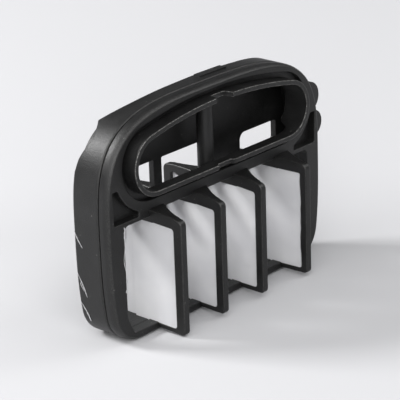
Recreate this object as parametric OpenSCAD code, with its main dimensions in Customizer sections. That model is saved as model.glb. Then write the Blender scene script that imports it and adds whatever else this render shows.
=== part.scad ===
// Two-shell moulded strainer comb: an arched front frame with an oval port and four open fins,
// and a rear shell with four matching fins. A white film panel closes the side of every fin.
// The front frame pulls straight off the rear shell. X is across, Z is up, and the fins point along Y.
// The origin is on the underside, midway across and midway between the front face and the shell's rear edge.

/* [Body] */
// Half width of the body at its widest height
body_half_w = 22.2; // [20:0.1:28]
// Height of the body
body_h = 32.2; // [29.5:0.1:42]
// Height at which the body is widest
waist_z = 15.5; // [13:0.1:17.5]
// Power of the curve that rounds the shoulders
shoulder_power = 3.5; // [2.6:0.1:5]
// How far in from each side the shoulder's curve reaches; a wider body is flat between them
shoulder_w = 22.2; // [18:0.1:28]
// How far each side leans in between the waist and the bottom
side_lean = 1.6; // [0:0.1:3]
// Power of the curve by which each side leans in
lean_power = 3; // [2:0.5:4]
// Radius of the bottom corners
foot_r = 5.0; // [2:0.1:6]
// Depth from the front face to the shell's rear edge
body_d = 6.5; // [5.2:0.1:10]
// Wall thickness of the rear shell
wall = 1.2; // [0.8:0.1:1.8]

/* [Front frame] */
// Thickness of the front bezel, back to the seam
bezel_d = 1.7; // [1.5:0.1:2.4]
// Rounding of the bezel's outer front edge, measured across
bezel_round = 0.55; // [0.3:0.05:0.6]
// Rounding of the bezel's outer front edge, measured along its depth
bezel_round_d = 1.2; // [0.6:0.1:1.4]
// Width of the bezel's rim above the seal groove
arch_rim = 0.8; // [0.7:0.1:1.2]
// Width of the seam between the front bezel and the rear shell
seam_gap = 0.15; // [0.1:0.05:0.3]
// Depth of the tongues that plug into the shell
tongue_d = 1.1; // [0.6:0.1:1.4]
// Height of the tongues
tongue_h = 12; // [6:0.5:16]
// Thickness of the tongues
tongue_t = 0.8; // [0.6:0.1:1.2]
// Clearance between the tongues and the shell
tongue_gap = 0.15; // [0.1:0.05:0.3]
// Width of each side post of the comb window
post_w = 3.0; // [2.4:0.1:4]
// Height of the front crossbar
crossbar_h = 1.7; // [1.2:0.1:2.2]
// How much lower the comb window's top is beyond the outer fins
crossbar_drop = 0.6; // [0:0.1:0.8]
// Depth of the front crossbar
crossbar_d = 2.6; // [2:0.1:3.2]
// Height of the bottom rail
rail_h = 1.3; // [1.3:0.1:1.9]

/* [Port] */
// Distance from each end of the port ring to the body's widest point
port_side = 4.05; // [3.3:0.05:8]
// Outer radius of the port ring's round ends
port_end_r = 4.4; // [3.6:0.1:4.8]
// Height of the port ring's crown above its round ends
port_crown = 1.55; // [0.5:0.05:2.4]
// Wall thickness of the port ring
port_wall = 0.7; // [0.5:0.05:1]
// How far the port ring stands out of the front face
port_proud = 1.5; // [0.3:0.1:1.8]
// How far the port ring reaches behind the front face
port_back = 2.5; // [2.2:0.1:3.6]
// Depth of the port ring's floor, behind which it slopes down
port_floor_d = 1.9; // [1.2:0.1:2.2]
// Width of the seal groove around the port ring
groove_w = 0.9; // [0.6:0.1:1.3]
// Thickness of the web at the bottom of the seal groove
web_t = 0.5; // [0.3:0.1:0.8]
// Width of the notch in the ring's rim, at its top and bottom
notch_w = 3.0; // [2:0.1:5]
// Diameter of the round post across the port
port_post_w = 2.3; // [1.2:0.1:2.6]
// Wall left between the seal groove and each corner pocket
pocket_wall = 1.4; // [1.1:0.1:2.5]
// Wall left between each corner pocket and the bezel's outside
pocket_rim = 1.1; // [0.8:0.1:1.4]
// Thickness of the floor at the back of each corner pocket
pocket_floor_t = 0.5; // [0.3:0.1:0.8]

/* [Fins] */
// Spacing of the four fins
fin_pitch = 8.7; // [7.5:0.1:9.4]
// Thickness of each fin across the body
fin_t = 1.1; // [0.8:0.05:1.4]
// How far the front fins stand out of the front face
fin_out = 4.6; // [3.6:0.1:8]
// How far the rear fins stand out behind the shell
rear_fin_out = 7.4; // [4:0.1:12]
// Depth of the upright bar at each fin's tip
bar_d = 1.5; // [0.9:0.1:1.8]
// Gap under each fin's bottom arm
fin_foot_z = 0.5; // [0:0.1:0.8]
// Height of each fin's top arm at its tip
arm_tip_h = 1.35; // [1.1:0.05:1.6]
// How much higher a front fin's top arm is at its root
arm_rise = 1.0; // [0.2:0.1:1.2]
// Height of a rear fin's top arm at its tip
rear_arm_h = 0.9; // [0.7:0.1:1.2]
// How much deeper a rear fin's top arm is at its root
gusset_h = 3.4; // [1:0.1:4]
// Half width of the flare where a top arm meets its crossbar
flare_half_w = 1.5; // [0.8:0.1:2.2]
// Radius of the corners at each fin's tip
tip_r = 0.6; // [0.3:0.1:1]

/* [Film] */
// Thickness of the film panels
film_t = 0.25; // [0.15:0.05:0.4]
// How far the front films reach behind the front face
film_back = 4.2; // [3:0.1:5]
// Cut corner of each film, along its edges
film_cut = 2.2; // [0.5:0.1:3]
// How far the rear films reach forward past the front films' rear edges
film_lap = 2.0; // [0.5:0.1:2.5]
// Sideways distance between the front films and the rear films
film_step = 0.4; // [0.35:0.05:0.6]

/* [Rear shell] */
// Thickness of the rear wall
rear_wall_t = 1.0; // [0.8:0.1:1.4]
// Height of the rear windows above the rear crossbar
window_h = 4.2; // [3:0.1:5]
// Height of the rear crossbar
rear_bar_h = 1.4; // [1:0.1:2]
// Width of the strut across the rear window
strut_w = 1.6; // [1:0.1:2.5]
// Place of the strut, left of the middle
strut_x = 6.5; // [5:0.1:8]
// How far the side lugs stand out of the shell
lug_out = 2.9; // [1.4:0.1:4]
// Thickness of the side lugs
lug_t = 1.8; // [1:0.1:2.4]
// Height of the rib on top of the shell
rib_h = 0.2; // [0.2:0.05:0.8]
// Width of the rib on top of the shell
rib_w = 5.4; // [3:0.2:9]
// Place of the rib, right of the middle
rib_x = 2.7; // [0:0.1:7]
// Depth of the bevel along the top of the shell's rear edge
top_bevel = 2.3; // [0.5:0.1:2.4]
// Depth of the notch in each shoulder of the shell's rear edge
shoulder_cut = 1.4; // [0.5:0.1:1.6]

/* [Hidden] */
$fn = 32;
FIN_COUNT = 4;
STEPS = 4;
front_y = -body_d / 2;
rear_y = body_d / 2;
shell_y = front_y + bezel_d + seam_gap;
// The web of the seal groove stands in the middle of the bezel's thickness
web_y = front_y + bezel_d / 2;
// A cut runs this far past the face that it starts from
past = 1;
black = [0.09, 0.09, 0.095];
dark = [0.13, 0.13, 0.135];
white = [0.86, 0.87, 0.87];

// Half length of the separate bottom rail, up to where the bottom corners begin to turn
rail_half_w = lean_x(foot_r, 0) - foot_r - 0.5;
// The port follows the body's width and height, so it stays under the arch
port_half_c = body_half_w - port_side - port_end_r;
port_top = body_h - groove_w - arch_rim;
port_z = port_top - port_crown - port_end_r;
port_bottom = port_z - port_end_r;
crossbar_top = port_bottom - groove_w;
window_top = crossbar_top - crossbar_h;
// The film and the openings inside the fins share these heights
arm_top = window_top + 0.5;
film_top = arm_top - arm_rise - arm_tip_h;
rear_arm_top = film_top + rear_arm_h;
film_bottom = rail_h;
rear_bar_top = window_top;
// The crossbar ends just outside the outer fins
drop_x = (FIN_COUNT - 1) / 2 * fin_pitch + fin_t;
window_half_w = body_half_w - post_w;
// The crown is an arc tangent to both round ends
crown_r = (pow(port_half_c, 2) + pow(port_crown + port_end_r, 2) - pow(port_end_r, 2))
    / (2 * port_crown);
crown_a = atan2(crown_r - port_crown - port_end_r, port_half_c);

// Points on an arc, from angle a to angle b
function arc(cx, cz, r, a, b, n) =
    [for (i = [0 : n]) [cx + r * cos(a + (b - a) * i / n), cz + r * sin(a + (b - a) * i / n)]];
function mirrored(points) = [for (i = [len(points) - 1 : -1 : 0]) [-points[i][0], points[i][1]]];
// Half width of the body below the waist, leaning in by a power of the distance below it
function lean_x(z, d) = body_half_w - d - side_lean * pow((waist_z - z) / waist_z, lean_power);
// The shoulder is a superellipse: a power of the cosine across and of the sine up, inset by d
function shoulder(a, d) = let (reach = min(shoulder_w, body_half_w)) [
    body_half_w - reach + (reach - d) * pow(cos(a), 2 / shoulder_power),
    waist_z + (body_h - d - waist_z) * pow(sin(a), 2 / shoulder_power)];
// Right half of the body's outline, inset by d, from the bottom corner up to the top
function half_outline(d) = let (
        r = max(foot_r - d, 0.3),
        tilt = atan(lean_power * side_lean * pow((waist_z - foot_r) / waist_z, lean_power - 1) / waist_z),
        z1 = d + r - r * sin(tilt),
        cx = lean_x(z1, d) - r * cos(tilt))
    concat(
        arc(cx, d + r, r, -90, -tilt, 8),
        [for (i = [1 : 5]) let (z = z1 + (waist_z - z1) * i / 6) [lean_x(z, d), z]],
        [for (i = [0 : 23]) shoulder(90 * i / 24, d)],
        [[0, body_h - d]]);
module outline(d = 0) {
    right = half_outline(d);
    polygon(concat(right, mirrored([for (i = [0 : len(right) - 2]) right[i]])));
}
// Outline of the port ring's outside, grown by g
function port_half(g) = concat(
    arc(port_half_c, port_z, port_end_r + g, -90, crown_a, 16),
    [for (i = [1 : 5]) let (a = crown_a + (90 - crown_a) * i / 6)
        [(crown_r + g) * cos(a), port_top - crown_r + (crown_r + g) * sin(a)]],
    [[0, port_top + g]]);
module port_outline(g = 0) {
    right = port_half(g);
    polygon(concat(right, mirrored([for (i = [0 : len(right) - 2]) right[i]])));
}
// Stands a flat drawing of X and Z upright, from y0 back to y1
module upright(y0, y1) {
    translate([0, y1, 0]) rotate([90, 0, 0]) linear_extrude(height = y1 - y0) children();
}
// Stands a flat drawing of Y and Z upright, t thick and centred on x
module sideways(x, t) {
    translate([x - t / 2, 0, 0]) rotate([90, 0, 90]) linear_extrude(height = t) children();
}
function fin_x(k) = (k - (FIN_COUNT + 1) / 2) * fin_pitch;

// The comb window and the crossbar above it, inside the rim that runs round the bottom corners
module comb_window() {
    intersection() {
        union() {
            translate([-window_half_w, rail_h])
                square([2 * window_half_w, window_top - crossbar_drop - rail_h]);
            translate([-drop_x, rail_h]) square([2 * drop_x, crossbar_top - rail_h]);
        }
        outline(rail_h);
    }
}
// The bezel's rounded edge is cut in steps; this is where step i begins
function step_y(i) = front_y + bezel_round_d * (1 - cos(90 * i / STEPS));
module pocket() {
    intersection() {
        difference() {
            outline(pocket_rim);
            port_outline(groove_w + pocket_wall);
        }
        translate([port_half_c, window_top])
            square([body_half_w, port_z - window_top - port_end_r * 0.4]);
    }
}
module front_bezel() {
    color(black) {
        difference() {
            union() for (i = [0 : STEPS - 1])
                upright(step_y(i), i == STEPS - 1 ? front_y + bezel_d : step_y(i + 1))
                    outline(bezel_round * (1 - sin(90 * i / STEPS)));
            upright(front_y - past, shell_y) {
                port_outline(groove_w);
                comb_window();
                translate([-rail_half_w, -past]) square([2 * rail_half_w, rail_h + 2 * past]);
                translate([-port_half_c, crossbar_top - past]) square([2 * port_half_c, past + port_end_r]);
            }
            upright(front_y - past, front_y + bezel_d - pocket_floor_t) {
                pocket();
                mirror([1, 0]) pocket();
            }
        }
        // Tongues that plug into the shell, one behind each side post
        upright(front_y + bezel_d, front_y + bezel_d + tongue_d) intersection() {
            difference() {
                outline(wall + tongue_gap);
                outline(wall + tongue_gap + tongue_t);
            }
            translate([-body_half_w, waist_z - tongue_h / 2]) square([2 * body_half_w, tongue_h]);
        }
    }
}
module front_crossbar() {
    color(black) upright(front_y, front_y + crossbar_d)
        translate([-drop_x, window_top]) square([2 * drop_x, crossbar_h]);
}
module front_rail() {
    color(black) upright(front_y, front_y + bezel_d)
        translate([-rail_half_w, 0]) square([2 * rail_half_w, rail_h]);
}
module port_ring() {
    color(black) {
        difference() {
            upright(front_y - port_proud, front_y + port_back) difference() {
                port_outline();
                port_outline(-port_wall);
            }
            upright(front_y - port_proud - past, front_y)
                translate([-notch_w / 2, port_bottom - past])
                square([notch_w, port_top - port_bottom + 2 * past]);
            // The floor slopes down to the web, and nothing of it stands behind the web
            sideways(0, 2 * port_half_c) polygon([
                [front_y - port_proud + port_floor_d, port_bottom + port_wall + past / 10],
                [web_y + web_t, port_bottom + port_wall / 5], [web_y + web_t, port_bottom - past],
                [front_y + port_back + past, port_bottom - past],
                [front_y + port_back + past, port_bottom + port_wall + past / 10]]);
        }
        // Web at the bottom of the seal groove
        upright(web_y, web_y + web_t) difference() {
            port_outline(groove_w);
            port_outline();
        }
    }
}
module port_post() {
    // The post stands on the crossbar, behind the web, and runs up to the ring's ceiling
    color(black) intersection() {
        translate([0, front_y + bezel_d + port_post_w / 4, crossbar_top])
            cylinder(d = port_post_w, h = port_top - port_wall - crossbar_top);
        translate([-port_post_w, web_y + web_t, crossbar_top])
            cube([2 * port_post_w, 2 * port_post_w, port_top - port_wall - crossbar_top]);
    }
}

// Side view of a fin's frame: root is the Y of the face it grows from, and dir points outwards
module fin_side(root, out, dir, top, rise, gusset) {
    tip = root + dir * out;
    bar = tip - dir * bar_d;
    polygon([[root, top + rise], [tip - dir * tip_r, top], [tip, top - tip_r],
        [tip, fin_foot_z + tip_r], [tip - dir * tip_r, fin_foot_z], [root, fin_foot_z],
        [root, film_bottom], [bar, film_bottom], [bar, film_top], [root, film_top - gusset]]);
}
// Plan of a fin: a flare at the root that narrows to the fin's own thickness
module fin_plan(x, root, out, dir) {
    polygon([[x - flare_half_w, root], [x - fin_t / 2, root + dir * (out - bar_d)],
        [x - fin_t / 2, root + dir * out], [x + fin_t / 2, root + dir * out],
        [x + fin_t / 2, root + dir * (out - bar_d)], [x + flare_half_w, root]]);
}
module fin(x, root, out, dir, top, rise, gusset) {
    sideways(x, fin_t) fin_side(root, out, dir, top, rise, gusset);
    intersection() {
        sideways(x, 2 * flare_half_w) fin_side(root, out, dir, top, rise, gusset);
        translate([0, 0, (film_top + top) / 2])
            linear_extrude(height = arm_top - film_top) fin_plan(x, root, out, dir);
    }
}
module front_fin(k) {
    color(black) {
        fin(fin_x(k), front_y, fin_out, -1, arm_top - arm_rise, arm_rise, 0);
        // Rib that carries the film's top edge behind the front face
        sideways(fin_x(k), fin_t) translate([front_y, film_top])
            square([film_back, window_top - film_top]);
    }
}
module rear_fin(k) {
    color(black) fin(fin_x(k), rear_y, rear_fin_out, 1, rear_arm_top, 0, gusset_h);
}
module front_film(k) {
    y0 = front_y - fin_out + bar_d;
    y1 = front_y + film_back;
    color(white) sideways(fin_x(k) - film_step / 2, film_t) polygon([[y0, film_bottom],
        [y1, film_bottom], [y1, film_top - film_cut], [y1 - film_cut, film_top], [y0, film_top]]);
}
module rear_film(k) {
    y0 = front_y + film_back - film_lap;
    y1 = rear_y + rear_fin_out - bar_d;
    color(white) sideways(fin_x(k) + film_step / 2, film_t) polygon([[y0, film_bottom],
        [y1, film_bottom], [y1, film_top], [rear_y, film_top - gusset_h],
        [rear_y - past, film_top - gusset_h], [rear_y - past, film_top], [y0, film_top]]);
}
// The wedge that the bevel takes off the top of the rear edge, at 45 degrees
module bevel_cut() {
    sideways(0, 2 * (body_half_w + past)) polygon([[rear_y - top_bevel - past, body_h + past],
        [rear_y + past, body_h + past], [rear_y + past, body_h - top_bevel - past]]);
}
module rear_shell() {
    color(dark) difference() {
        upright(shell_y, rear_y) difference() {
            outline();
            outline(wall);
        }
        bevel_cut();
        // Each shoulder's cut is deepest near the top, where a shallower cut runs on above it
        for (side = [-1, 1]) sideways(side * body_half_w, past * 10) polygon([
            [rear_y, port_z - 0.5], [rear_y - shoulder_cut * 0.3, port_z + 1.2],
            [rear_y - shoulder_cut * 0.7, port_z + 2.8], [rear_y - shoulder_cut, port_z + 3.8],
            [rear_y - shoulder_cut, port_z + 4.3], [rear_y - shoulder_cut * 0.45, port_z + 5.1],
            [rear_y - shoulder_cut * 0.45, body_h + past], [rear_y + past, body_h + past],
            [rear_y + past, port_z - 0.5]]);
    }
}
module rear_wall() {
    color(dark) difference() {
        upright(rear_y - rear_wall_t, rear_y) difference() {
            outline(wall);
            translate([-body_half_w, -past]) square([2 * body_half_w, rear_bar_top + past]);
            // Left window, past the middle to the third fin
            translate([-window_half_w + 3, rear_bar_top - past])
                square([window_half_w - 3 + fin_pitch / 2, window_h + past]);
            // Right window, with a round upper left corner
            translate([fin_pitch + 3.1, rear_bar_top + window_h - 2.2]) circle(r = 1);
            translate([fin_pitch + 3.1, rear_bar_top - past])
                square([window_half_w - fin_pitch - 4.1, window_h - 1.2 + past]);
            translate([fin_pitch + 2.1, rear_bar_top - past]) square([1.2, window_h - 2.2 + past]);
        }
        bevel_cut();
    }
}
module rear_crossbar() {
    color(dark) upright(rear_y - rear_wall_t, rear_y) intersection() {
        outline(wall);
        translate([-body_half_w, rear_bar_top - rear_bar_h]) square([2 * body_half_w, rear_bar_h]);
    }
}
module window_strut() {
    color(dark) upright(rear_y - rear_wall_t, rear_y)
        translate([-strut_x - strut_w / 2, rear_bar_top]) square([strut_w, window_h]);
}
module shell_top_rib() {
    // The rib ends where the bevel begins
    color(dark) upright(rear_y - top_bevel - wall, rear_y - top_bevel) difference() {
        intersection() {
            outline(-rib_h);
            translate([rib_x - rib_w / 2, body_h - 3]) square([rib_w, 3 + 2 * rib_h]);
        }
        outline();
    }
}
module lug(z, r, out) {
    x = body_half_w + out - r;
    translate([x, z]) circle(r = r);
    translate([x - 4, z - r]) square([4, 2 * r]);
}
module side_lugs() {
    color(dark) upright(shell_y + 0.1, shell_y + 0.1 + lug_t) difference() {
        union() {
            lug(port_z - 0.9, 2.3, lug_out - 0.6);
            lug(port_z - 5.1, 2.0, lug_out);
        }
        outline();
    }
}

front_bezel();
front_crossbar();
front_rail();
port_ring();
port_post();
front_fin(1);  // front_fin_1
front_fin(2);  // front_fin_2
front_fin(3);  // front_fin_3
front_fin(4);  // front_fin_4
front_film(1);  // front_film_1
front_film(2);  // front_film_2
front_film(3);  // front_film_3
front_film(4);  // front_film_4
rear_shell();
rear_wall();
rear_crossbar();
window_strut();
shell_top_rib();
side_lugs();
rear_fin(1);  // rear_fin_1
rear_fin(2);  // rear_fin_2
rear_fin(3);  // rear_fin_3
rear_fin(4);  // rear_fin_4
rear_film(1);  // rear_film_1
rear_film(2);  // rear_film_2
rear_film(3);  // rear_film_3
rear_film(4);  // rear_film_4
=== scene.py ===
import math
import bpy
import numpy as np
from mathutils import Matrix, Vector
from mathutils.geometry import delaunay_2d_cdt


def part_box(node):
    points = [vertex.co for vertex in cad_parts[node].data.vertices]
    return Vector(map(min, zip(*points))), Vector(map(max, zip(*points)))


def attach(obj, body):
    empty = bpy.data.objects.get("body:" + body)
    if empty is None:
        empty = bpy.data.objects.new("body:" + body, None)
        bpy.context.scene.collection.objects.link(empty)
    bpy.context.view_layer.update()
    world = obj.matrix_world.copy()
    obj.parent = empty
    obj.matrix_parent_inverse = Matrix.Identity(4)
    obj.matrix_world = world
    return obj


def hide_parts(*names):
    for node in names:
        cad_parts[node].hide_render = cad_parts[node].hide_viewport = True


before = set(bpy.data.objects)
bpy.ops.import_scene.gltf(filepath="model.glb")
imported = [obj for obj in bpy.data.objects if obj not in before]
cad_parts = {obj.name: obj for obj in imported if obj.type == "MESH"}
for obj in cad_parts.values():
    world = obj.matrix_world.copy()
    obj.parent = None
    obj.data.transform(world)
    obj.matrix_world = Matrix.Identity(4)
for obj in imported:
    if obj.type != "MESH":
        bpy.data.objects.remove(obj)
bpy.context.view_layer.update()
mm = 0.001
scene = bpy.context.scene
scene.view_settings.view_transform = "Standard"
print("frame loaded:", len(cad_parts), "CAD nodes")


# places taken from the frame, in millimetres
def cad(node):
    low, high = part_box(node)
    return np.array(low) / mm, np.array(high) / mm


bezelLow = cad("front_bezel")[0]
shellLow, shellHigh = cad("rear_shell")
ringLow, ringHigh = cad("port_ring")
barLow, barHigh = cad("front_crossbar")
railLow, railHigh = cad("front_rail")
rearBarHigh = cad("rear_crossbar")[1]
frontY = bezelLow[1]
rearY = shellHigh[1]
seamY = barLow[1] + railHigh[1] - railLow[1]
finNames = [f"fin_{k}" for k in (1, 2, 3, 4)]
finXs = [float(sum(c[0] for c in cad("front_" + n)) / 2) for n in finNames]

# the body's outline, as in the CAD part
body = dict(halfWidth=shellHigh[0], height=shellHigh[2], waist=15.5, power=3.5, lean=1.6, leanPower=3,
            footRadius=5.0)
port = dict(halfSpan=13.75, endRadius=4.4, crown=1.55, wall=0.7, groove=0.9, rimAbove=0.8)
comb = dict(windowHalf=float(shellHigh[0]) - 3.0, windowTop=float(barHigh[2]) - 1.7,
            windowBottom=float(railHigh[2]), drop=0.6, dropX=14.15)
portTop = body["height"] - port["groove"] - port["rimAbove"]
portZ = portTop - port["crown"] - port["endRadius"]


# flat curves: arrays of points, counter-clockwise
def resample(loop, step):
    # walks round the closed loop and drops a point every step millimetres, measured along it
    closed = np.vstack([loop, loop[:1]])
    along = np.concatenate([[0], np.cumsum(np.linalg.norm(np.diff(closed, axis=0), axis=1))])
    count = max(int(round(along[-1] / step)), 8)
    at = np.linspace(0, along[-1], count, endpoint=False)
    return np.stack([np.interp(at, along, closed[:, 0]), np.interp(at, along, closed[:, 1])], 1)


def loopNormals(loop):
    # outward normal: the chord between a point's two neighbours, turned a quarter turn clockwise
    chord = np.roll(loop, -1, 0) - np.roll(loop, 1, 0)
    normal = np.stack([chord[:, 1], -chord[:, 0]], 1)
    return normal / np.linalg.norm(normal, axis=1, keepdims=True)


def mirrorClosed(right):
    # joins a right half, drawn from the bottom up to the middle, to its mirror image
    left = right[:-1][::-1] * [-1, 1]
    return np.vstack([right, left])


def bodyLoop(inset=0.0, step=0.3):
    # bottom corner: arc; side: cubic leaning in below the waist; top: superellipse from the waist up
    b = body
    r = max(b["footRadius"] - inset, 0.3)
    power = b["leanPower"]
    tilt = math.atan(power * b["lean"] * (1 - b["footRadius"] / b["waist"]) ** (power - 1) / b["waist"])

    def sideX(z):
        return b["halfWidth"] - inset - b["lean"] * ((b["waist"] - z) / b["waist"]) ** power

    cornerZ = inset + r - r * math.sin(tilt)
    a = np.linspace(-math.pi / 2, -tilt, 24)
    corner = np.stack([sideX(cornerZ) - r * math.cos(tilt) + r * np.cos(a), inset + r + r * np.sin(a)], 1)
    z = np.linspace(cornerZ, b["waist"], 30)[1:-1]
    side = np.stack([sideX(z), z], 1)
    a = np.linspace(0, math.pi / 2, 160)
    reach = b["height"] - inset - b["waist"]
    cosine, sine = np.clip(np.cos(a), 0, 1), np.clip(np.sin(a), 0, 1)
    top = np.stack([(b["halfWidth"] - inset) * cosine ** (2 / b["power"]),
                    b["waist"] + reach * sine ** (2 / b["power"])], 1)
    return resample(mirrorClosed(np.vstack([corner, side, top])), step)


def portLoop(grow=0.0, step=0.2):
    # round ends joined by a flat bottom and by a crown arc tangent to both ends
    p = port
    crownR = (p["halfSpan"] ** 2 + (p["crown"] + p["endRadius"]) ** 2 - p["endRadius"] ** 2) / (2 * p["crown"])
    crownA = math.atan2(crownR - p["crown"] - p["endRadius"], p["halfSpan"])
    a = np.linspace(-math.pi / 2, crownA, 60)
    end = np.stack([p["halfSpan"] + (p["endRadius"] + grow) * np.cos(a),
                    portZ + (p["endRadius"] + grow) * np.sin(a)], 1)
    a = np.linspace(crownA, math.pi / 2, 30)[1:]
    crown = np.stack([(crownR + grow) * np.cos(a), portTop - crownR + (crownR + grow) * np.sin(a)], 1)
    return resample(mirrorClosed(np.vstack([end, crown])), step)


def roundedLoop(corners, radii, step=0.12):
    # each corner is swapped for an arc tangent to its two sides
    p = np.array(corners, float)
    r = np.broadcast_to(np.asarray(radii, float), (len(p),))
    before, after = np.roll(p, 1, 0) - p, np.roll(p, -1, 0) - p
    before /= np.linalg.norm(before, axis=1, keepdims=True)
    after /= np.linalg.norm(after, axis=1, keepdims=True)
    half = np.arccos(np.clip((before * after).sum(1), -1, 1)) / 2
    bisector = before + after
    bisector /= np.maximum(np.linalg.norm(bisector, axis=1, keepdims=True), 1e-9)
    centre = p + bisector * (r / np.sin(half))[:, None]
    start = p + before * (r / np.tan(half))[:, None] - centre
    stop = p + after * (r / np.tan(half))[:, None] - centre
    a0, a1 = np.arctan2(start[:, 1], start[:, 0]), np.arctan2(stop[:, 1], stop[:, 0])
    sweep = (a1 - a0 + math.pi) % (2 * math.pi) - math.pi
    a = a0[:, None] + sweep[:, None] * np.linspace(0, 1, 9)[None, :]
    arcs = centre[:, None, :] + r[:, None, None] * np.stack([np.cos(a), np.sin(a)], 2)
    return resample(arcs.reshape(-1, 2), step)


def insideLoop(points, loop):
    # even-odd rule, all points against all edges at once
    x, y = points[:, 0][:, None], points[:, 1][:, None]
    ax, ay = loop[:, 0][None], loop[:, 1][None]
    bx, by = np.roll(loop[:, 0], -1)[None], np.roll(loop[:, 1], -1)[None]
    crosses = (ay > y) != (by > y)
    rise = np.where(by == ay, 1e-12, by - ay)
    return (crosses & (x < (bx - ax) * (y - ay) / rise + ax)).sum(1) % 2 == 1


# solids: each is (points, faces, normals), and upright() or sideways() stands it in the body's frame
def gridFaces(rows, columns, wrap=True, flip=False, start=0):
    j, i = np.meshgrid(np.arange(rows - 1), np.arange(columns if wrap else columns - 1), indexing="ij")
    k = (i + 1) % columns
    quads = np.stack([j * columns + i, (j + 1) * columns + i, (j + 1) * columns + k, j * columns + k], 2)
    quads = quads.reshape(-1, 4) + start
    return quads[:, ::-1] if flip else quads


def edgeRows(near, far, nearRound, farRound, steps=5):
    # quarter ellipses at both ends of a straight wall: inset, depth, and the normal's two parts
    def corner(size):
        across, deep = (size, size) if np.isscalar(size) else size
        t = np.linspace(0, math.pi / 2, steps + 1)
        n = np.stack([np.sin(t) * deep, np.cos(t) * across], 1) + 1e-9
        n /= np.linalg.norm(n, axis=1, keepdims=True)
        return across * (1 - np.sin(t)), deep * (1 - np.cos(t)), n

    i0, d0, n0 = corner(nearRound)
    i1, d1, n1 = corner(farRound)
    inset = np.concatenate([i0, i1[::-1]])
    depth = np.concatenate([near + d0, far - d1[::-1]])
    normal = np.vstack([n0 * [1, -1], n1[::-1] * [1, 1]])
    return inset, depth, normal


def plate(loops, near, far, rounds, farRounds=None, shift=None):
    # the first loop is the outside and the others are holes; every edge is rounded,
    # and the caps are triangulated
    farRounds = farRounds or rounds
    points, faces, normals, nearRing, farRing = [], [], [], [], []
    total = 0
    for k, loop in enumerate(loops):
        sign = 1 if k == 0 else -1
        n = loopNormals(loop) * sign
        inset, depth, edge = edgeRows(near, far, rounds[k], farRounds[k])
        flat = loop[None] - n[None] * inset[:, None, None]
        p = np.concatenate([flat, np.broadcast_to(depth[:, None, None], flat.shape[:2] + (1,))], 2)
        q = np.concatenate([n[None] * edge[:, :1, None],
                            np.broadcast_to(edge[:, 1][:, None, None], flat.shape[:2] + (1,))], 2)
        rows, count = flat.shape[:2]
        faces += gridFaces(rows, count, flip=sign < 0, start=total).tolist()
        nearRing.append(np.arange(count) + total)
        farRing.append(np.arange(count) + total + (rows - 1) * count)
        points.append(p.reshape(-1, 3))
        normals.append(q.reshape(-1, 3))
        total += rows * count
    points, normals = np.vstack(points), np.vstack(normals)
    for rings, flip in ((nearRing, False), (farRing, True)):
        ids = np.concatenate(rings)
        flat = points[ids, :2]
        edges, at = [], 0
        for ring in rings:
            n = np.arange(len(ring))
            edges += np.stack([n + at, (n + 1) % len(ring) + at], 1).tolist()
            at += len(ring)
        out = delaunay_2d_cdt([Vector(v) for v in flat], edges, [], 1, 1e-7)
        tris = np.array([[out[3][v][0] for v in f] for f in out[2]])
        corners = flat[tris]
        keep = insideLoop(corners.mean(1), flat[:len(rings[0])])
        at = len(rings[0])
        for ring in rings[1:]:
            keep &= ~insideLoop(corners.mean(1), flat[at:at + len(ring)])
            at += len(ring)
        tris, corners = tris[keep], corners[keep]
        u, v = corners[:, 1] - corners[:, 0], corners[:, 2] - corners[:, 0]
        turned = u[:, 0] * v[:, 1] - u[:, 1] * v[:, 0] < 0
        tris[turned] = tris[turned][:, ::-1]
        faces += ids[tris[:, ::-1] if flip else tris].tolist()
    if shift is not None:
        points = shift(points)
    return points, faces, normals


def sweep(loop, section, shift=None):
    # carries a closed section (offset outwards, depth) round a closed loop
    n = loopNormals(loop)
    section = np.asarray(section, float)
    edge = loopNormals(section)
    flat = loop[None] + n[None] * section[:, 0][:, None, None]
    shape = flat.shape[:2] + (1,)
    p = np.concatenate([flat, np.broadcast_to(section[:, 1][:, None, None], shape)], 2)
    q = np.concatenate([n[None] * edge[:, 0][:, None, None],
                        np.broadcast_to(edge[:, 1][:, None, None], shape)], 2)
    rows, count = flat.shape[:2]
    if shift is not None:
        p = shift(p)
    faces = gridFaces(rows + 1, count)
    faces = np.where(faces >= rows * count, faces - rows * count, faces)
    return p.reshape(-1, 3), faces.tolist(), q.reshape(-1, 3)


def loft(stations, halfWidths, lows, highs, radius, foot):
    # a rounded trapezium carried along Y; its top half width, bottom and top are given at each station
    a = np.concatenate([np.linspace(q, q + math.pi / 2, 6) for q in np.arange(4) * math.pi / 2])
    cx = np.sign(np.cos(a.reshape(4, 6).mean(1))).repeat(6)
    cz = np.sign(np.sin(a.reshape(4, 6).mean(1))).repeat(6)
    y, w, low, high = (np.asarray(v, float)[:, None] for v in (stations, halfWidths, lows, highs))
    r = np.minimum(radius, np.minimum(w, (high - low) / 2) * 0.95)
    x = cx * (np.where(cz > 0, w, foot) - r) + r * np.cos(a)
    z = (high + low) / 2 + cz * ((high - low) / 2 - r) + r * np.sin(a)
    p = np.stack([x, z, np.broadcast_to(y, x.shape)], 2)
    q = np.stack([np.broadcast_to(np.cos(a), x.shape), np.broadcast_to(np.sin(a), x.shape),
                  np.zeros(x.shape)], 2)
    rows, count = x.shape
    flip = stations[-1] < stations[0]
    faces = gridFaces(rows, count, flip=flip).tolist()
    caps = [list(range(count)), list(range((rows - 1) * count, rows * count))[::-1]]
    faces += [c[::-1] for c in caps] if flip else caps
    wear = np.abs(np.sin(2 * a)) * (cz > 0) * np.ones(x.shape)
    return p.reshape(-1, 3)[:, [0, 2, 1]], faces, q.reshape(-1, 3)[:, [0, 2, 1]], wear.reshape(-1)


def edgeWear(n):
    # 1 where a rounded edge faces halfway between the flat and the depth, 0 on both of them
    return 2 * np.abs(n[:, 2]) * np.sqrt(np.clip(1 - n[:, 2] ** 2, 0, 1))


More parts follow.
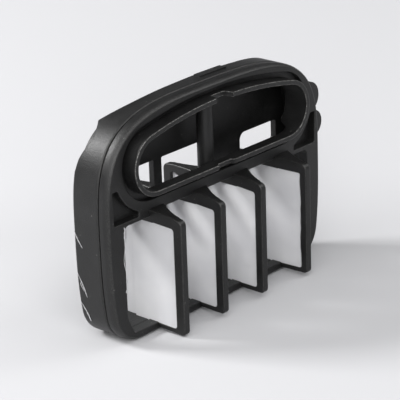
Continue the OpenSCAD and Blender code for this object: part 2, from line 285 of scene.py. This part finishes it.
def upright(solid):
    # flat X and Z, depth along Y
    p, faces, n = solid
    return p[:, [0, 2, 1]], faces, n[:, [0, 2, 1]], edgeWear(n)


def sideways(solid, x):
    # flat Y and Z, depth along -X from the plane at x
    p, faces, n = solid
    return (np.stack([x - p[:, 2], p[:, 0], p[:, 1]], 1), faces,
            np.stack([-n[:, 2], n[:, 0], n[:, 1]], 1), edgeWear(n))


def makePiece(name, solids, material, bodyName, nodes=()):
    points, faces, normals, wear, total = [], [], [], [], 0
    for p, f, n, w in solids:
        points.append(p)
        normals.append(n)
        wear.append(w)
        faces += [[v + total for v in face] for face in f]
        total += len(p)
    mesh = bpy.data.meshes.new(name)
    mesh.from_pydata((np.vstack(points) * mm).tolist(), [], faces)
    mesh.polygons.foreach_set("use_smooth", np.ones(len(mesh.polygons), bool))
    mesh.materials.append(material)
    mesh.update()
    mesh.normals_split_custom_set_from_vertices(np.vstack(normals).tolist())
    mesh.attributes.new("wear", "FLOAT", "POINT").data.foreach_set("value", np.concatenate(wear))
    piece = bpy.data.objects.new(name, mesh)
    scene.collection.objects.link(piece)
    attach(piece, bodyName)
    if nodes:
        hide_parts(*nodes)
    return piece


# materials
def linear(hexColour):
    s = [int(hexColour[i:i + 2], 16) / 255 for i in (1, 3, 5)]
    return [c / 12.92 if c <= 0.04045 else ((c + 0.055) / 1.055) ** 2.4 for c in s] + [1.0]


def addNode(tree, kind, settings=None, **links):
    # settings: names of properties or inputs with values; links: input name to an output socket
    node = tree.nodes.new(kind)
    for key, value in (settings or {}).items():
        if key in node.inputs:
            node.inputs[key].default_value = value
        else:
            setattr(node, key, value)
    for key, source in links.items():
        tree.links.new(source, node.inputs[key.replace("_", " ")])
    return node


def ramp(tree, source, stops):
    node = addNode(tree, "ShaderNodeValToRGB", None, Fac=source)
    elements = node.color_ramp.elements
    while len(elements) < len(stops):
        elements.new(0.5)
    for element, (place, colour) in zip(elements, stops):
        element.position = place
        element.color = colour if not isinstance(colour, str) else linear(colour)
    return node.outputs["Color"]


def newMaterial(name, settings):
    material = bpy.data.materials.new(name)
    material.use_nodes = True
    tree = material.node_tree
    shader = tree.nodes["Principled BSDF"]
    for key, value in settings.items():
        shader.inputs[key].default_value = value
    return material, tree, shader


grey = [(v, v, v, 1.0) for v in (0.0, 1.0)]

# black glass-filled nylon, spark-eroded mould texture: a fine grain of about 0.15 mm, soft sheen, pale dust
mouldedLook = dict(base="#0b0b0b", worn="#151515", dust="#6c6b68", rubbed="#8e8d8a", grainMm=0.16,
                   blotchMm=3.0, dustMm=0.9, roughness=(0.36, 0.52), bump=0.00006, wornEdges=0.06)


def mouldedPlastic(name, look):
    material, tree, shader = newMaterial(name, {"IOR": 1.5, "Specular IOR Level": 0.4})
    place = addNode(tree, "ShaderNodeTexCoord").outputs["Object"]
    grain = addNode(tree, "ShaderNodeTexNoise", {"Scale": 1 / (look["grainMm"] * mm), "Detail": 2.0},
                    Vector=place).outputs["Fac"]
    blotch = addNode(tree, "ShaderNodeTexNoise", {"Scale": 1 / (look["blotchMm"] * mm), "Detail": 5.0,
                                                  "Roughness": 0.6}, Vector=place).outputs["Fac"]
    specks = addNode(tree, "ShaderNodeTexVoronoi", {"Scale": 1 / (look["dustMm"] * mm)},
                     Vector=place).outputs["Distance"]
    tone = ramp(tree, blotch, [(0.3, look["base"]), (0.75, look["worn"])])
    fleck = ramp(tree, specks, [(0.05, grey[1]), (0.09, grey[0])])
    rare = ramp(tree, blotch, [(0.5, grey[0]), (0.6, grey[1])])
    mask = addNode(tree, "ShaderNodeMath", {"operation": "MULTIPLY"})
    tree.links.new(fleck, mask.inputs[0])
    tree.links.new(rare, mask.inputs[1])
    colour = addNode(tree, "ShaderNodeMix", {"data_type": "RGBA"})
    tree.links.new(mask.outputs[0], colour.inputs["Factor"])
    tree.links.new(tone, colour.inputs[6])
    colour.inputs[7].default_value = linear(look["dust"])
    # rounded edges are rubbed paler in specks
    edge = addNode(tree, "ShaderNodeAttribute", {"attribute_name": "wear"}).outputs["Fac"]
    speck = ramp(tree, grain, [(0.45, grey[0]), (0.6, grey[1])])
    rubbed = addNode(tree, "ShaderNodeMath", {"operation": "MULTIPLY"})
    tree.links.new(ramp(tree, edge, [(0.35, grey[0]), (0.95, grey[1])]), rubbed.inputs[0])
    tree.links.new(speck, rubbed.inputs[1])
    amount = addNode(tree, "ShaderNodeMath", {"operation": "MULTIPLY"})
    tree.links.new(rubbed.outputs[0], amount.inputs[0])
    amount.inputs[1].default_value = look["wornEdges"]
    final = addNode(tree, "ShaderNodeMix", {"data_type": "RGBA"})
    tree.links.new(amount.outputs[0], final.inputs["Factor"])
    tree.links.new(colour.outputs[2], final.inputs[6])
    final.inputs[7].default_value = linear(look["rubbed"])
    tree.links.new(final.outputs[2], shader.inputs["Base Color"])
    low, high = look["roughness"]
    rough = addNode(tree, "ShaderNodeMapRange", {"To Min": low, "To Max": high}, Value=blotch)
    tree.links.new(rough.outputs["Result"], shader.inputs["Roughness"])
    bump = addNode(tree, "ShaderNodeBump", {"Strength": 0.6, "Distance": look["bump"]}, Height=grain)
    tree.links.new(bump.outputs["Normal"], shader.inputs["Normal"])
    return material, tree, shader, place


framePlastic, *_ = mouldedPlastic("blackNylonFrame", mouldedLook)
wornPlastic, *_ = mouldedPlastic("blackNylonWornRim", dict(mouldedLook, wornEdges=0.55))
shellPlastic, *_ = mouldedPlastic("blackNylonShell", dict(mouldedLook, base="#0e0e0e", worn="#181818"))

# white polyester film, matt and half translucent, with faint ripples about 5 mm apart
filmLook = dict(colour="#e4e4e5", shade="#dcdcde", rippleMm=5.0, grainMm=0.25, translucency=0.5)


def filmMaterial(look):
    material, tree, shader = newMaterial("whitePolyesterFilm", {"IOR": 1.5, "Roughness": 0.5,
                                                                "Specular IOR Level": 0.3})
    place = addNode(tree, "ShaderNodeTexCoord").outputs["Object"]
    ripple = addNode(tree, "ShaderNodeTexNoise", {"Scale": 1 / (look["rippleMm"] * mm), "Detail": 2.0},
                     Vector=place).outputs["Fac"]
    grain = addNode(tree, "ShaderNodeTexNoise", {"Scale": 1 / (look["grainMm"] * mm), "Detail": 2.0},
                    Vector=place).outputs["Fac"]
    tone = ramp(tree, ripple, [(0.35, look["shade"]), (0.7, look["colour"])])
    tree.links.new(tone, shader.inputs["Base Color"])
    bump = addNode(tree, "ShaderNodeBump", {"Strength": 0.3, "Distance": 0.00001}, Height=grain)
    tree.links.new(bump.outputs["Normal"], shader.inputs["Normal"])
    # half of the light passes through to the other side
    through = addNode(tree, "ShaderNodeBsdfTranslucent", None, Color=tone)
    mixed = addNode(tree, "ShaderNodeMixShader", {"Fac": look["translucency"]})
    tree.links.new(shader.outputs["BSDF"], mixed.inputs[1])
    tree.links.new(through.outputs["BSDF"], mixed.inputs[2])
    tree.links.new(mixed.outputs["Shader"], tree.nodes["Material Output"].inputs["Surface"])
    return material


whiteFilm = filmMaterial(filmLook)
print("materials made")

# front frame: bezel, crossbar and rail are one moulding
bezelLook = dict(bullnose=(0.56, 1.15), holeRound=0.15, grooveRound=0.12, pocketRim=1.1, pocketWall=1.4,
                 pocketFloor=0.5, seamRound=0.22)


def pocketLoop(side):
    # the corner triangle between the side post, the crossbar and the round housing of the port
    outer = body["halfWidth"] - bezelLook["pocketRim"]
    low = comb["windowTop"]
    reach = port["endRadius"] + port["groove"] + bezelLook["pocketWall"]
    a = np.radians(np.linspace(-20, -68, 16))
    arcPoints = np.stack([port["halfSpan"] + reach * np.cos(a), portZ + reach * np.sin(a)], 1)
    corners = np.vstack([[[arcPoints[-1, 0], low], [outer - 0.15, low], [outer, arcPoints[0, 1]]], arcPoints])
    loop = resample(corners, 0.1)
    for _ in range(3):
        loop = (loop + np.roll(loop, 1, 0) + np.roll(loop, -1, 0)) / 3
    return loop if side > 0 else (loop * [-1, 1])[::-1]


def windowLoop():
    w, low, high, x = comb["windowHalf"], comb["windowBottom"], comb["windowTop"], comb["dropX"]
    end = high - comb["drop"]
    return roundedLoop([[-w + 1.2, low], [w - 1.2, low], [w, low + 2.6], [w, end], [x, end], [x - 0.6, high],
                        [0.6 - x, high], [-x, end], [-w, end], [-w, low + 2.6]],
                       [0.5, 0.5, 2.0, 0.9, 0.2, 0.2, 0.2, 0.2, 0.9, 2.0], 0.2)


holes = [portLoop(port["groove"]), windowLoop(), pocketLoop(1), pocketLoop(-1)]
small = bezelLook["holeRound"]
bezel = plate([bodyLoop()] + holes, frontY, seamY,
              [bezelLook["bullnose"], bezelLook["grooveRound"], small, small, small],
              [bezelLook["seamRound"], 0.1, 0.1, 0.1, 0.1])
half, bottom = comb["dropX"] - 0.1, comb["windowTop"]
crossbarLoop = roundedLoop([[-half, bottom], [half, bottom], [half, barHigh[2]], [-half, barHigh[2]]], 0.3)
crossbarBack = plate([crossbarLoop], seamY - 0.2, barHigh[1], [0.05], [0.15])


def pocketFloor(side):
    loop = pocketLoop(side)
    # a plate a little larger than the pocket closes it just in front of the seam
    grown = resample(loop + 0.3 * loopNormals(loop), 0.15)
    return plate([grown], seamY - bezelLook["pocketFloor"], seamY - 0.05, [0.05])


frontSolids = [upright(solid) for solid in (bezel, crossbarBack, pocketFloor(1), pocketFloor(-1))]
makePiece("frontFrame", frontSolids, framePlastic, "front_half",
          ["front_bezel", "front_crossbar", "front_rail"])
print("front frame made")

# port ring with its notched rim, the web behind the groove, and the post
ringLook = dict(rimRound=0.14, notchHalf=1.5, notchRamp=0.25, lowNotch=0.35, floorDepth=1.9)
webY = (frontY + seamY) / 2


def roundedSection(low, high, near, far, radius):
    return roundedLoop([[low, near], [high, near], [high, far], [low, far]], radius, 0.08)


def smooth(t):
    t = np.clip(t, 0, 1)
    return t * t * (3 - 2 * t)


def shapeRing(p):
    # in the middle the rim is set back: to the front face at the top, and by a third of that at the bottom;
    # along the bottom the ring is shorter, and its floor slopes down to the web
    q = p.copy()
    x, z, y = p[..., 0], p[..., 1], p[..., 2]
    notch = smooth((ringLook["notchHalf"] - np.abs(x)) / ringLook["notchRamp"] + 0.5)
    depth = (frontY - ringLow[1]) * np.where(z > portZ, 1.0, ringLook["lowNotch"])
    q[..., 2] += notch * np.clip((frontY + 0.8 - y) / (frontY + 0.8 - ringLow[1]), 0, 1) * depth
    bottom = smooth((portZ - 0.62 * port["endRadius"] - z) / (0.2 * port["endRadius"]))
    inner = np.clip((z - ringLow[2]) / port["wall"], 0, 1)
    limit = (webY + 0.5) * (1 - inner) + (ringLow[1] + ringLook["floorDepth"]) * inner
    scale = (limit - ringLow[1]) / (ringHigh[1] - ringLow[1])
    back = np.clip((y - ringLow[1] - 0.3) / 0.3, 0, 1)
    q[..., 2] -= bottom * back * (y - ringLow[1]) * (1 - scale)
    return q


ringSection = roundedSection(-port["wall"], 0, ringLow[1], ringHigh[1], ringLook["rimRound"])
tube = sweep(portLoop(), ringSection, shapeRing)
web = sweep(portLoop(), roundedSection(-0.1, port["groove"] + 0.1, webY, webY + 0.5, 0.05))
makePiece("portRing", [upright(tube), upright(web)], wornPlastic, "front_half", ["port_ring"])
postLow, postHigh = cad("port_post")


def column(section, low, high):
    # a closed section of X and Y carried straight up
    n = loopNormals(section)
    z = np.array([low, high])
    p = np.concatenate([np.broadcast_to(section[None], (2,) + section.shape),
                        np.broadcast_to(z[:, None, None], (2, len(section), 1))], 2)
    q = np.concatenate([np.broadcast_to(n[None], (2,) + n.shape), np.zeros((2, len(section), 1))], 2)
    count = len(section)
    faces = gridFaces(2, count, flip=True).tolist()
    return (p.reshape(-1, 3), faces + [list(range(count))[::-1], list(range(count, 2 * count))],
            q.reshape(-1, 3), np.zeros(2 * count))


postWidth = postHigh[0] - postLow[0]
postBack = postLow[1] + postWidth
postSection = roundedLoop([[postLow[0], postLow[1]], [postHigh[0], postLow[1]], [postHigh[0], postBack],
                           [postLow[0], postBack]], postWidth * 0.48, 0.08)
makePiece("portPost", [column(postSection, postLow[2], postHigh[2] + 0.2)], framePlastic,
          "front_half", ["port_post"])
print("port made")

# fins: a side frame with a wedge-shaped top arm
finLook = dict(thickness=1.1, edgeRound=0.22, tipRound=0.8, innerRound=0.35, barDepth=1.5, flareHalf=1.55,
               flarePower=1.6, armRise=1.0, armTip=1.35, rearArm=0.9, gusset=3.4, footZ=0.5)
filmTop = comb["windowTop"] + 0.5 - finLook["armRise"] - finLook["armTip"]

# the fins have bent a little since they were moulded:
# sideways at the root and at the tip, then upwards at the tip and at the foot
finBend = {1: (0.1, 0.42, -0.35, -0.3), 2: (0.05, -0.2, -0.12, 0.1), 3: (0.0, -0.45, -0.08, 0.25),
           4: (0.35, 0.65, 0.0, 0.0)}
# the depth of each front fin's upright bar
frontBars = {1: 1.5, 2: 1.5, 3: 1.45, 4: 1.05}


def bent(points, k, root, tip):
    # the bend grows in step with the distance from the root; heights blend from foot to arm
    rootX, tipX, tipZ, footZ = finBend[k]
    s = np.clip((points[:, 1] - root) / (tip - root), 0, 1)
    up = np.clip(points[:, 2] / filmTop, 0, 1)
    q = points.copy()
    q[:, 0] += rootX + (tipX - rootX) * s
    q[:, 2] += s * (footZ + (tipZ - footZ) * up)
    return q


def finSolids(k, x, root, tip, rise, armTip, gusset, barDepth):
    # root and tip are places along Y; the side frame is a plate, and the arm is a loft that flares to the root
    f = finLook
    half = f["thickness"] / 2
    side = 1 if tip > root else -1
    bar = tip - side * barDepth
    back = root - side * 0.4
    frameTop = filmTop + armTip
    corners = [[back, filmTop - gusset], [back, frameTop + rise], [tip, frameTop], [tip, f["footZ"]],
               [back, f["footZ"]], [back, comb["windowBottom"]], [bar, comb["windowBottom"]], [bar, filmTop]]
    radii = [0.26, 0.26, f["tipRound"], f["tipRound"] * 0.8, 0.26, 0.26, f["innerRound"], f["innerRound"]]
    loop = roundedLoop(corners if side < 0 else corners[::-1], radii if side < 0 else radii[::-1], 0.1)
    frameSide = sideways(plate([loop], -half, half, [f["edgeRound"]]), x)
    y = np.linspace(back, bar + side * 0.3, 24)
    s = np.clip((y - root) / (bar - root), 0, 1)
    width = half + (f["flareHalf"] - half) * (1 - s) ** f["flarePower"]
    top = frameTop + rise * (1 - np.clip((y - back) / (tip - back), 0, 1)) + 0.05
    arm = loft(y, width, np.full(24, filmTop + 0.15), top, 0.2, half - 0.02)
    arm = (arm[0] + [x, 0, 0], *arm[1:])
    return [(bent(solid[0], k, root, tip), *solid[1:]) for solid in (frameSide, arm)]


def frontRib(x):
    # carries the film's top edge behind the front face
    y0, y1 = frontY + 0.2, cad("front_fin_1")[1][1]
    low, high, half = filmTop, comb["windowTop"], finLook["thickness"] / 2
    loop = roundedLoop([[y0, low], [y1, low], [y1, high], [y0, high]], 0.2)
    return sideways(plate([loop], -half, half, [0.12]), x)


for k, x in zip((1, 2, 3, 4), finXs):
    tip = cad(f"front_fin_{k}")[0][1]
    rib = frontRib(x + finBend[k][0])
    solids = finSolids(k, x, frontY, tip, finLook["armRise"], finLook["armTip"], 0, frontBars[k])
    makePiece(f"frontFin{k}", solids + [rib], framePlastic, "front_half", [f"front_fin_{k}"])
    tip = cad(f"rear_fin_{k}")[1][1]
    solids = finSolids(k, x, rearY, tip, 0, finLook["rearArm"], finLook["gusset"], finLook["barDepth"])
    makePiece(f"rearFin{k}", solids, shellPlastic, "rear_half", [f"rear_fin_{k}"])
print("fins made")

# film panels
panelLook = dict(thickness=0.12, overlap=0.35, wave=0.05, frontSet=0.42, rearSet=0.12, cut=2.2)


def filmPanel(x, y0, y1, z0, z1, cut, seed, waves):
    # a thin closed sheet in Y and Z whose bonded edges wander; one rear corner is cut off at 45 degrees
    rng = np.random.default_rng(seed)
    u, v = np.meshgrid(np.linspace(0, 1, 49), np.linspace(0, 1, 81), indexing="xy")
    phase = rng.uniform(0, 6.28, 12)

    def wander(t, k, rate):
        return panelLook["wave"] * (np.sin(rate * t + phase[k]) + 0.6 * np.sin(2.3 * rate * t + phase[k + 1])
                                    + 0.35 * np.sin(5.1 * rate * t + phase[k + 2]))

    z = z0 + (z1 - z0) * v
    first = y0 + wander(v, 0, 9.0) * waves[0]
    last = y1 - np.maximum(0, z - (z1 - cut)) + wander(v, 3, 9.0) * waves[1]
    y = first + (last - first) * u
    bulge = 0.06 * np.sin(math.pi * u) * np.sin(math.pi * v) * np.cos(3 * u + 2 * v + phase[9])
    t = panelLook["thickness"] / 2
    faceA = np.stack([x - t + bulge, y, z], 2).reshape(-1, 3)
    faceB = np.stack([x + t + bulge, y, z], 2).reshape(-1, 3)
    rows, count = u.shape
    size = rows * count
    quads = gridFaces(rows, count, wrap=False)
    faces = quads.tolist() + (quads[:, ::-1] + size).tolist()
    rim = np.concatenate([np.arange(count), np.arange(1, rows) * count + count - 1,
                          (rows - 1) * count + np.arange(count - 2, -1, -1),
                          np.arange(rows - 2, 0, -1) * count])
    after = np.roll(rim, -1)
    faces += np.stack([rim, rim + size, after + size, after], 1)[:, ::-1].tolist()
    normals = np.vstack([np.tile([-1.0, 0, 0], (size, 1)), np.tile([1.0, 0, 0], (size, 1))])
    return np.vstack([faceA, faceB]), faces, normals, np.zeros(2 * size)


lap = panelLook["overlap"]
for k, x in zip((1, 2, 3, 4), finXs):
    low, high = cad(f"front_film_{k}")
    tip = cad(f"front_fin_{k}")[0][1]
    sheet = filmPanel(x - panelLook["frontSet"], low[1] - lap, high[1], low[2] - 0.2, high[2] + 0.25,
                      panelLook["cut"], 10 + k, (1, 0))
    makePiece(f"frontFilm{k}", [(bent(sheet[0], k, frontY, tip), *sheet[1:])], whiteFilm, "front_half",
              [f"front_film_{k}"])
    low, high = cad(f"rear_film_{k}")
    tip = cad(f"rear_fin_{k}")[1][1]
    sheet = filmPanel(x - panelLook["rearSet"], low[1], high[1] + lap, low[2] - 0.2, high[2] + 0.1,
                      0.0, 20 + k, (0, 1))
    makePiece(f"rearFilm{k}", [(bent(sheet[0], k, rearY, tip), *sheet[1:])], whiteFilm, "rear_half",
              [f"rear_film_{k}"])
print("films made")

# rear shell
# the shoulder's cut is given as depths at heights above the port's middle
shellLook = dict(wall=1.2, frontRound=0.25, rearRound=0.35, bevel=2.3,
                 cutHeights=(-0.5, 1.2, 2.2, 3.1, 3.8, 4.3, 5.0, 5.6),
                 cutDepths=(0.0, 0.3, 0.7, 1.15, 1.5, 1.35, 0.75, 0.6), cutFrom=16.2, reach=3.4)


def bevelDrop(x, z):
    # the top of the rear edge is bevelled at 45 degrees, a little deeper where the left shoulder was scraped
    # and a little shallower over the middle
    scraped = 0.35 * np.exp(-((x + 12.5) / 4.5) ** 2) - 0.35 * np.exp(-((x - 1.0) / 5.0) ** 2)
    drop = shellLook["bevel"] + scraped - (body["height"] - z)
    return np.where(drop > 0.15, drop, 0.15 * np.exp(np.minimum(drop / 0.15 - 1, 0)))


def shellEdge(p):
    # the rear edge is set forward by the deeper of the bevel and the shoulder's cut
    x, z = p[..., 0], p[..., 1]
    cut = np.interp(z - portZ, shellLook["cutHeights"], shellLook["cutDepths"])
    cut = cut * smooth((np.abs(x) - shellLook["cutFrom"]) / 1.5)
    back = np.clip((p[..., 2] - (rearY - shellLook["reach"])) / shellLook["reach"], 0, 1)
    q = p.copy()
    q[..., 2] -= back * np.maximum(bevelDrop(x, z), cut)
    return q


def wallEdge(p):
    # the rear wall follows the same bevel, and keeps a thin edge inside the shell
    q = p.copy()
    back = np.clip((p[..., 2] - (rearY - windowLook["thickness"])) / windowLook["thickness"], 0, 1)
    q[..., 2] -= back * np.minimum(bevelDrop(p[..., 0], p[..., 1]), 0.85 * windowLook["thickness"])
    return q


wallIn = -shellLook["wall"]
wallSection = roundedLoop([[wallIn, shellLow[1]], [0, shellLow[1]], [0, rearY], [wallIn, rearY]],
                          [shellLook["frontRound"], shellLook["frontRound"], shellLook["rearRound"], 0.2], 0.12)
makePiece("rearShell", [upright(sweep(bodyLoop(0, 0.25), wallSection, shellEdge))], shellPlastic,
          "rear_half", ["rear_shell"])

# slivers of clear film on the shell's left side and on the left post's inner edge, made of opaque white film as
# painted highlights where the clear film glints


# a painted highlight: a white ribbon standing in for the glint along a clear film's edge
def glintShred(path, across, up, halfWidth, thickness=0.05):
    # a closed ribbon along a path of points; it is widest in the middle and pointed at both ends
    path, across, up = (np.asarray(v, float) for v in (path, across, up))
    t = np.linspace(0, 1, len(path))
    width = halfWidth * (0.15 + 0.85 * np.sin(math.pi * t)) * (1 + 0.25 * np.sin(23 * t))
    turn = np.array([[-1, -1], [1, -1], [1, 1], [-1, 1]])
    offset = across * turn[:, :1] * width[:, None, None] + up * turn[:, 1:] * thickness / 2
    p = path[:, None] + offset
    faces = gridFaces(len(path), 4).tolist() + [[0, 1, 2, 3], [len(path) * 4 - k for k in (1, 2, 3, 4)]]
    flat = p.reshape(-1, 3)
    corners = flat[[f[:3] for f in faces]]
    if (corners[:, 0] * np.cross(corners[:, 1], corners[:, 2])).sum() < 0:
        faces = [f[::-1] for f in faces]
    n = (offset / np.linalg.norm(offset, axis=2, keepdims=True)).reshape(-1, 3)
    return flat, faces, n, np.zeros(len(flat))


def sideX(z):
    # the shell's left surface leans in below the waist, as in the body's outline
    below = np.clip((body["waist"] - z) / body["waist"], 0, 1)
    return -(body["halfWidth"] - body["lean"] * below ** body["leanPower"])


def sideGlintShred(start, stop, bow, halfWidth):
    # start and stop are (height, distance behind the front face); the bow bends the line between them
    t = np.linspace(0, 1, 24)
    z = start[0] + (stop[0] - start[0]) * t
    v = start[1] + (stop[1] - start[1]) * t + bow * np.sin(math.pi * t)
    return glintShred(np.stack([sideX(z) - 0.01, frontY + v, z], 1), [0, 1, 0.3], [1, 0, 0], halfWidth)


def postGlintShred(top, low, halfWidth, bow):
    t = np.linspace(0, 1, 24)
    z = top + (low - top) * t
    x = -comb["windowHalf"] - 0.05 + bow * np.sin(math.pi * t) + 0.05 * np.sin(9 * t)
    return glintShred(np.stack([x, np.full(24, frontY - 0.02), z], 1), [1, 0, 0], [0, 1, 0], halfWidth)


# side: start, stop, bow, half width; post: top, bottom, half width, bow
glintShredLook = dict(side=[((15.8, 6.3), (13.8, 5.0), 0.1, 0.12), ((9.9, 6.3), (6.6, 4.9), -0.15, 0.10),
                       ((8.6, 5.9), (7.4, 5.3), 0.1, 0.06), ((5.6, 6.3), (2.9, 5.0), -0.2, 0.14)],
                 post=[(17.0, 14.6, 0.16, 0.1), (9.8, 8.7, 0.12, 0.12), (8.3, 7.4, 0.10, -0.1),
                       (14.4, 10.2, 0.03, -0.25)])
# real film slivers, painted white as highlights in place of the glints on the clear film
makePiece("sideFilmGlintShreds", [sideGlintShred(*row) for row in glintShredLook["side"]], whiteFilm, "rear_half")
makePiece("postFilmGlintShreds", [postGlintShred(*row) for row in glintShredLook["post"]], whiteFilm, "front_half")

# rear wall with its windows, crossbar and strut in one plate
windowLook = dict(height=4.2, barHeight=1.4, thickness=1.0, strutX=6.5, strutWidth=1.6, leftEnd=-16.2,
                  middleEnd=4.35, rightStart=10.8, rightEnd=18.8)
barTop = float(rearBarHigh[2])


def archLoop():
    # the body's inner outline, closed by a straight line under the rear crossbar
    loop = bodyLoop(shellLook["wall"] - 0.3, 0.25)
    low = barTop - windowLook["barHeight"]
    loop = loop[loop[:, 1] > low]
    first = int(np.argmax(np.linalg.norm(np.diff(np.vstack([loop, loop[:1]]), axis=0), axis=1))) + 1
    loop = np.roll(loop, -first, 0)
    half = abs(loop[0, 0])
    base = np.stack([np.linspace(-half, half, 120), np.full(120, low)], 1)
    return resample(np.vstack([base, loop]), 0.25)


def windowLoops():
    w, top = windowLook, barTop + windowLook["height"]
    strut = w["strutWidth"] / 2
    left = roundedLoop([[w["leftEnd"], barTop], [-w["strutX"] - strut, barTop], [-w["strutX"] - strut, top],
                        [w["leftEnd"], top]], [0.3, 0.2, 0.2, 0.6], 0.15)
    x0, x1 = -w["strutX"] + strut, w["middleEnd"]
    middle = roundedLoop([[x0, barTop], [x1, barTop], [x1, top + 0.8], [x1 - 1.0, top + 0.7],
                          [x1 - 1.7, top], [x0, top]],
                         [0.2, 0.3, 0.3, 0.3, 0.4, 0.2], 0.15)
    x0, x1 = w["rightStart"], w["rightEnd"]
    right = roundedLoop([[x0, barTop], [x1, barTop], [x1, top - 1.2], [x0, top - 1.2]],
                        [0.3, 0.3, 0.5, 1.1], 0.15)
    return [left, middle, right]


rearPlate = plate([archLoop()] + windowLoops(), rearY - windowLook["thickness"], rearY, [0.1] * 4,
                  shift=wallEdge)
makePiece("rearWall", [upright(rearPlate)], shellPlastic, "rear_half",
          ["rear_wall", "rear_crossbar", "window_strut"])
for name in ("shell_top_rib", "side_lugs"):
    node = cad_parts[name]
    node.data.materials.clear()
    node.data.materials.append(shellPlastic)
print("rear shell made")

# floor, lights and camera
viewAzimuth = -47.75
stageLook = dict(floor="#adadaf", reach=0.024, radius=0.10, slope=11.0, length=1.2, world="#f4f5f8",
                 worldStrength=0.12)


def makeFloor():
    # a sheet swept along a path: flat under the part, an arc behind it, then a straight gentle slope
    f = stageLook
    slope = math.radians(f["slope"])
    a = np.linspace(0, slope, 16)
    arc = np.stack([f["reach"] + f["radius"] * np.sin(a), f["radius"] * (1 - np.cos(a))], 1)
    rise = f["length"] * np.array([[math.cos(slope), math.sin(slope)]])
    path = np.vstack([[[-1.2, 0]], arc, arc[-1:] + rise])
    along = np.array([-math.sin(math.radians(viewAzimuth)), math.cos(math.radians(viewAzimuth))])
    across = np.array([along[1], -along[0]])
    xy = path[:, :1, None] * along + np.array([-1.5, 1.5])[None, :, None] * across
    p = np.concatenate([xy, np.broadcast_to(path[:, 1][:, None, None], (len(path), 2, 1))], 2)
    mesh = bpy.data.meshes.new("studioFloor")
    mesh.from_pydata(p.reshape(-1, 3).tolist(), [], gridFaces(len(path), 2, wrap=False, flip=True).tolist())
    mesh.polygons.foreach_set("use_smooth", np.ones(len(mesh.polygons), bool))
    material, *_ = newMaterial("paperFloor", {"Base Color": linear(f["floor"]), "Roughness": 0.8,
                                              "Specular IOR Level": 0.2})
    mesh.materials.append(material)
    floor = bpy.data.objects.new("studioFloor", mesh)
    scene.collection.objects.link(floor)


makeFloor()


def areaLight(name, place, target, size, power):
    data = bpy.data.lights.new(name, "AREA")
    data.shape, data.size, data.energy = "SQUARE", size, power
    light = bpy.data.objects.new(name, data)
    light.location = place
    light.rotation_euler = (Vector(target) - Vector(place)).to_track_quat("-Z", "Y").to_euler()
    scene.collection.objects.link(light)


# each light: place, target (both in metres), size in metres, power in watts
lightLook = dict(
    softLeft=((-0.42, -0.10, 0.42), (0, 0, 0.01), 0.75, 4.2),
    softFront=((-0.30, -0.36, 0.26), (0, 0, 0.015), 0.40, 2.0),
    softTop=((0.16, -0.22, 0.55), (0.05, 0.02, 0), 0.40, 1.2),
    shoulderGlint=((-0.22, 0.31, 0.31), (0, 0, 0.02), 0.12, 2.6),
    frontRight=((0.38, -0.20, 0.34), (0, 0, 0.02), 0.20, 0.6))
for name, (place, target, size, power) in lightLook.items():
    areaLight(name, place, target, size, power)
world = bpy.data.worlds.new("studio")
world.use_nodes = True
world.node_tree.nodes["Background"].inputs["Color"].default_value = linear(stageLook["world"])
world.node_tree.nodes["Background"].inputs["Strength"].default_value = stageLook["worldStrength"]
scene.world = world

cameraLook = dict(azimuth=viewAzimuth, elevation=20.9, roll=2.0, distance=268.1, lens=176.4,
                  target=(-4.22, float(frontY), 16.25))


def makeCamera(c):
    az, el, roll = (math.radians(c[k]) for k in ("azimuth", "elevation", "roll"))
    back = np.array([math.sin(az) * math.cos(el), -math.cos(az) * math.cos(el), math.sin(el)])
    right = np.array([math.cos(az), math.sin(az), 0])
    up = np.cross(back, right)
    right, up = right * math.cos(roll) - up * math.sin(roll), right * math.sin(roll) + up * math.cos(roll)
    place = np.array(c["target"]) + back * c["distance"]
    data = bpy.data.cameras.new("camera")
    data.lens, data.sensor_width = c["lens"], 36
    data.clip_start, data.clip_end = 0.01, 10
    camera = bpy.data.objects.new("camera", data)
    camera.matrix_world = Matrix([[*row, place[i] * mm] for i, row in enumerate(np.stack([right, up, back], 1))]
                                 + [[0, 0, 0, 1]])
    scene.collection.objects.link(camera)
    scene.camera = camera


makeCamera(cameraLook)
print("floor, lights and camera made")
